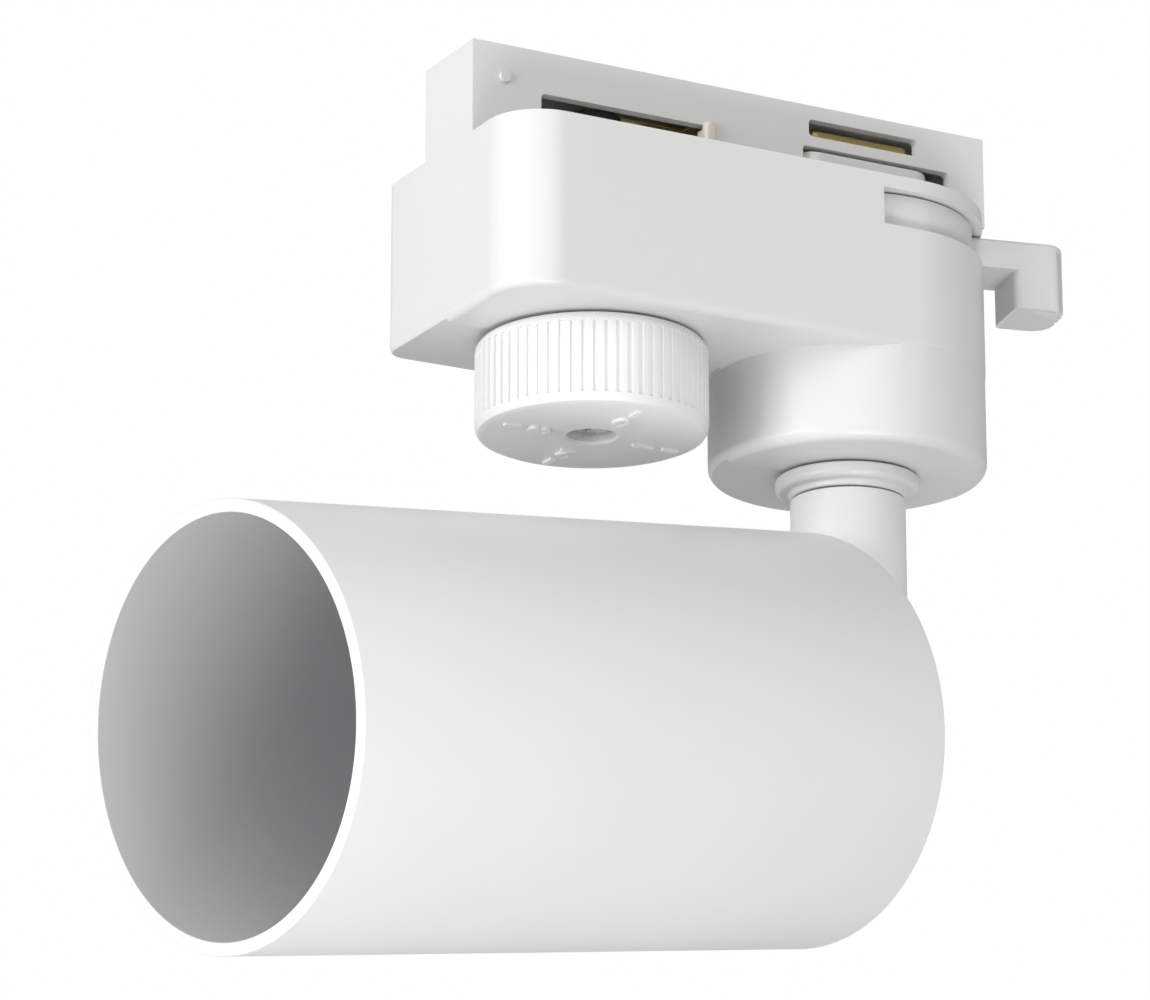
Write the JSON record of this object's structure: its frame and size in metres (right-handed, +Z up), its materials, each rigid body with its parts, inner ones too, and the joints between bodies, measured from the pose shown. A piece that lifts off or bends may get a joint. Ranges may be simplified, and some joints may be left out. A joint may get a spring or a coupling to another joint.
{
  "type": "track spotlight",
  "caption": "Tube-headed spotlight on a panning stem below a plug-in track adapter with a circuit selector knob and a lock lever.",
  "frame": {"origin": "on the pan axis, at the adapter's top face, which seats on the track", "axes": "+Z up into the track; +X along the adapter from the selector knob to the lock lever; +Y across the track"},
  "size_m": [0.1387, 0.0726, 0.1284],
  "materials": {
    "housing_white": "satin moulded white plastic",
    "screw_steel": "zinc-plated steel",
    "contact_cream": "cream moulded plastic",
    "spring_steel": "spring steel",
    "contact_brass": "stamped brass",
    "lead_jacket": "insulated wire",
    "knob_white": "satin moulded white plastic",
    "insulator_dark": "dark insulating plastic",
    "lever_white": "satin moulded white plastic",
    "collar_white": "satin moulded white plastic",
    "zinc_plate": "zinc-plated steel tube, threaded",
    "fibre_washer": "red-brown fibre",
    "powder_coat_white": "white powder coat",
    "grommet_rubber": "soft black rubber",
    "steatite": "unglazed cream ceramic",
    "lamp_glass": "aluminised pressed glass",
    "lens_glass": "clear pressed glass",
    "pin_brass": "nickel-plated brass",
    "ring_steel": "bright spring steel"
  },
  "bodies": {
    "adapter": {"front_shell": "housing_white", "rear_shell": "housing_white", "shell_screws": "screw_steel", "polarity_peg": "contact_cream", "detent_spring": "spring_steel", "live_terminal": "contact_brass", "neutral_terminal": "contact_brass", "adapter_leads": "lead_jacket"},
    "selector": {"selector_knob": "knob_white", "knob_screw": "screw_steel", "selector_shaft": "insulator_dark", "live_contacts": "contact_brass"},
    "lock": {"lock_lever": "lever_white", "lock_wing": "lever_white", "neutral_contact": "contact_brass"},
    "stem": {"swivel_collar": "collar_white", "stem_nipple": "zinc_plate", "friction_washer": "fibre_washer", "stop_washer": "zinc_plate", "wave_washer": "spring_steel", "nipple_nut": "zinc_plate", "stem_tube": "powder_coat_white", "stem_bush": "zinc_plate", "stem_knuckle": "powder_coat_white", "stem_leads": "lead_jacket", "pivot_washers": "fibre_washer", "pivot_screws": "screw_steel"},
    "head": {"head_tube": "powder_coat_white", "rear_cap": "powder_coat_white", "lead_grommet": "grommet_rubber", "cap_screws": "screw_steel", "holder_bracket": "zinc_plate", "lamp_holder": "steatite", "holder_screws": "screw_steel", "lamp_body": "lamp_glass", "lamp_lens": "lens_glass", "lamp_pins": "pin_brass", "retaining_ring": "ring_steel", "head_leads": "lead_jacket"}
  },
  "joints": [
    {"name": "selector_turn", "type": "hinge", "parent": "adapter", "child": "selector", "pos_m": [-0.0395, 0, -0.03], "axis": [0, 0, 1], "range_deg": [0, 270]},
    {"name": "lock_turn", "type": "hinge", "parent": "adapter", "child": "lock", "pos_m": [0, 0, -0.004], "axis": [0, 0, 1], "range_deg": [-75, 0]},
    {"name": "pan", "type": "hinge", "parent": "adapter", "child": "stem", "pos_m": [0, 0, -0.037], "axis": [0, 0, 1], "range_deg": [-164, 164]},
    {"name": "tilt", "type": "hinge", "parent": "stem", "child": "head", "pos_m": [0, 0, -0.0736], "axis": [0.1994, -0.9799, 0], "range_deg": [-8, 82]}
  ]
}
